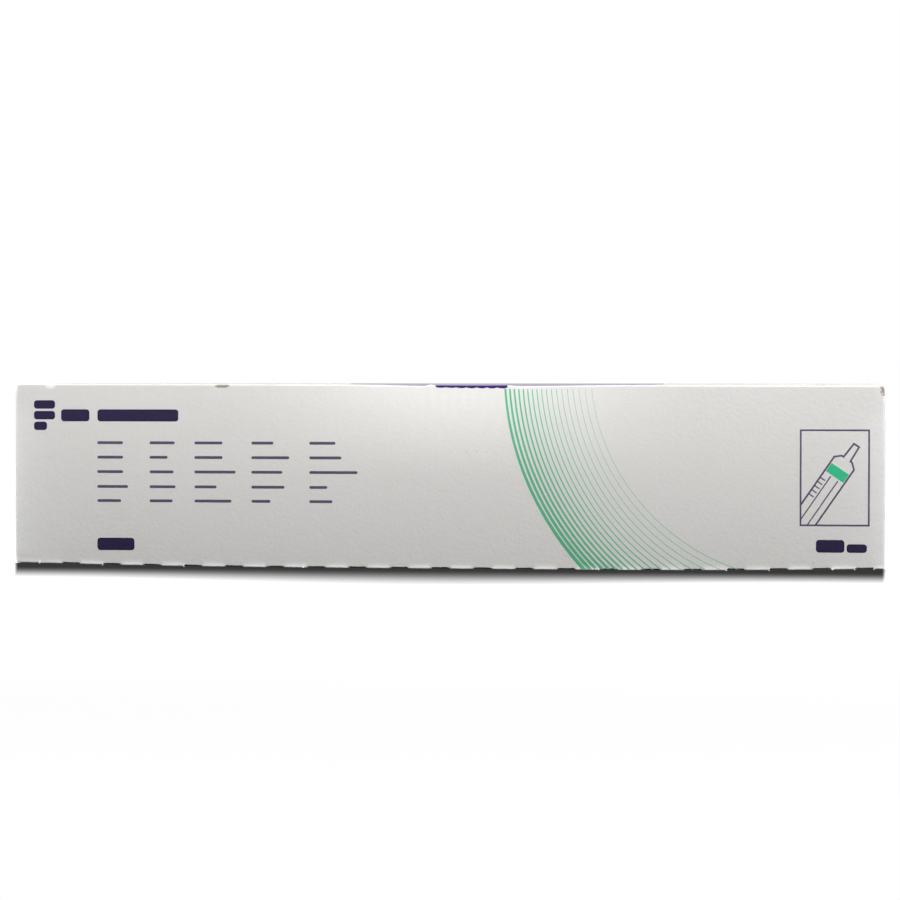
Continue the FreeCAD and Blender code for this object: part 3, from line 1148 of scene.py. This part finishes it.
# Studio
studio = {
    "floorSize": 9.0,
    "worldFill": 0.25,
    "floorGrey": 0.06,      # what the floor gives back to the object
    # lamps: place, size and power
    "lamps": {
        "overhead": [(0.02, -0.27, 0.40), (1.3, 0.10), 4.15],
        "side": [(0.85, -0.55, 0.35), (0.4, 0.4), 1.8],
        "rear": [(0.0, 0.85, 0.05), (0.7, 0.06), 3.2],
        "left": [(-0.85, 0.0, 0.05), (0.12, 0.06), 1.6],
    },
    "lampAim": (0.2, 0.06),     # share of its own sideways place, and the height, that a lamp looks at
    # the contact shadow: how far it reaches past an end and in front, and its darkest tone;
    # the front panel hangs lower in the middle, and so it reaches further there
    "reach": 0.0032,
    "reachBehind": 0.03,
    "inset": 1.8,           # how far it starts inside the ends, in mm
    "under": 0.02,          # how far under the raised ends its sides run on
    "reachMiddle": 0.184,
    "reachEnds": 0.130,
    "reachRun": 0.2,
    "darkest": 0.040,
    "floorGlow": 0.72,      # how much of the white is the floor's own, and how much takes the lamps
    "floorTone": 0.45,
    "farFloor": (0.35, 0.9),    # where the floor turns into plain white
}


view = {
    "azimuth": 6.735,       # degrees round to the right
    "distance": 1.5,        # from the front panel's middle line
    "height": 0.1015,
    "lens": 114.42,
    "roll": 0.015,
    "aim": (0.00395, 0.06248),
    "sensor": 36,
    "nearest": 0.05,
}
viewTurn = math.radians(view["azimuth"])


def makeFloor():
    # to the camera white, with a contact shadow; to the light that bounces, a dark grey
    mesh = bpy.data.meshes.new("floor")
    half = studio["floorSize"] / 2
    corners = [(-half, -half, 0), (half, -half, 0), (half, half, 0), (-half, half, 0)]
    mesh.from_pydata(corners, [], [(0, 1, 2, 3)])
    floor = bpy.data.objects.new("floor", mesh)
    bpy.context.scene.collection.objects.link(floor)
    made, tree, shader = newMaterial("floor")
    grey = studio["floorGrey"]
    shader.inputs["Roughness"].default_value = 1.0
    shader.inputs["Specular IOR Level"].default_value = 0.0
    # how far a place lies outside the carton's outline, each way in shares of the shadow's reach
    place = objectPlace(tree)
    axes = addNode(tree, "ShaderNodeSeparateXYZ")
    tree.links.new(place, axes.inputs[0])
    x, y = axes.outputs["X"], axes.outputs["Y"]
    inFront = maths(tree, "SUBTRACT", front * mm, y)
    # in front and a little way back, the shadow's sides point at the place the picture is taken from
    spread = maths(tree, "SUBTRACT", x, view["distance"] * math.sin(viewTurn))
    shift = maths(tree, "MAXIMUM", maths(tree, "ADD", inFront, 2 * studio["under"]), 0.0)
    shift = maths(tree, "MAXIMUM", inFront, maths(tree, "MULTIPLY", shift, -1.0))
    spread = maths(tree, "MULTIPLY", spread, shift)
    spread = maths(tree, "MULTIPLY", spread, 1 / (view["distance"] * math.cos(viewTurn)))
    sideways = maths(tree, "ABSOLUTE", maths(tree, "ADD", x, spread))
    shares = addNode(tree, "ShaderNodeCombineXYZ")
    reaches = (studio["reachMiddle"], studio["reachEnds"])
    inFrontReach = mapRange(tree, maths(tree, "ABSOLUTE", x), (0, studio["reachRun"]), reaches, "SMOOTHSTEP")
    ways = (
        (maths(tree, "SUBTRACT", sideways, (right - studio["inset"]) * mm), studio["reach"]),
        (inFront, inFrontReach),
        (maths(tree, "SUBTRACT", y, back * mm), studio["reachBehind"]),
    )
    for i, (way, reach) in enumerate(ways):
        tree.links.new(maths(tree, "DIVIDE", maths(tree, "MAXIMUM", way, 0.0), reach), shares.inputs[i])
    size = vectors(tree, "LENGTH", shares.outputs[0])
    fade = mapRange(tree, size, (0.0, 1.0), curve="SMOOTHERSTEP")
    seen = seenRay(tree)
    tone = maths(tree, "MULTIPLY", fade, studio["floorTone"])
    tree.links.new(mixColour(tree, seen, (grey, grey, grey), tone), shader.inputs["Base Color"])
    shader.inputs["Emission Color"].default_value = (1, 1, 1, 1)
    glow = maths(tree, "ADD", maths(tree, "MULTIPLY", fade, studio["floorGlow"]), studio["darkest"])
    tree.links.new(maths(tree, "MULTIPLY", seen, glow), shader.inputs["Emission Strength"])
    far = mapRange(tree, vectors(tree, "LENGTH", place), studio["farFloor"], curve="SMOOTHSTEP")
    plain = addNode(tree, "ShaderNodeEmission")
    blend = addNode(tree, "ShaderNodeMixShader")
    tree.links.new(maths(tree, "MULTIPLY", far, seen), blend.inputs[0])
    tree.links.new(shader.outputs[0], blend.inputs[1])
    tree.links.new(plain.outputs[0], blend.inputs[2])
    tree.links.new(blend.outputs[0], tree.nodes["Material Output"].inputs["Surface"])
    mesh.materials.append(made)


def seenRay(tree):
    # one for what the camera sees straight, mirrored or through glass
    path = addNode(tree, "ShaderNodeLightPath")
    seen = maths(tree, "MAXIMUM", path.outputs["Is Camera Ray"], path.outputs["Is Glossy Ray"])
    return maths(tree, "MAXIMUM", seen, path.outputs["Is Transmission Ray"])


def makeLight():
    # a dim world that looks white itself, and the lamps
    world = bpy.data.worlds.new("studio")
    bpy.context.scene.world = world
    world.use_nodes = True
    tree = world.node_tree
    background = tree.nodes["Background"]
    fill = studio["worldFill"]
    colour = mixColour(tree, seenRay(tree), (fill, fill, fill), (1.0, 1.0, 1.0))
    tree.links.new(colour, background.inputs["Color"])
    for name, (place, size, power) in studio["lamps"].items():
        lamp = bpy.data.lights.new(name, "AREA")
        lamp.shape = "RECTANGLE"
        lamp.size, lamp.size_y = size
        lamp.energy = power
        held = bpy.data.objects.new(name, lamp)
        held.location = place
        sideShare, aimHeight = studio["lampAim"]
        towards = Vector((place[0] * sideShare, front * mm, aimHeight)) - Vector(place)
        held.rotation_euler = towards.to_track_quat("-Z", "Y").to_euler()
        bpy.context.scene.collection.objects.link(held)


def makeCamera():
    # as far round and as high as the photograph was taken from
    data = bpy.data.cameras.new("camera")
    data.lens = view["lens"]
    data.sensor_width = view["sensor"]
    data.clip_start = view["nearest"]
    camera = bpy.data.objects.new("camera", data)
    bpy.context.scene.collection.objects.link(camera)
    panel, away = front * mm, view["distance"]
    eye = np.array([away * math.sin(viewTurn), panel - away * math.cos(viewTurn), view["height"]])
    aim = np.array([view["aim"][0], panel, view["aim"][1]])
    ahead = (aim - eye) / np.linalg.norm(aim - eye)
    camera.location = eye
    pitch = math.asin(ahead[2]) + math.pi / 2
    yaw = math.atan2(-ahead[0], ahead[1])
    camera.rotation_mode = "XYZ"
    spin = Matrix.Identity(3)
    for angle, axis in ((yaw, "Z"), (pitch, "X"), (math.radians(view["roll"]), "Z")):
        spin = spin @ Matrix.Rotation(angle, 3, axis)
    camera.rotation_euler = spin.to_euler("XYZ")
    bpy.context.scene.camera = camera


makeCamera()
makeLight()
makeFloor()
print("studio: camera, lamps and floor")
paper = paperGroup()
spot = spotGroup()
makeCarton()
makeTitle()
makeNames()
makeAmounts()
makeArcs()
makePicture()
makeLidField()

bpy.context.scene.view_settings.view_transform = "Standard"
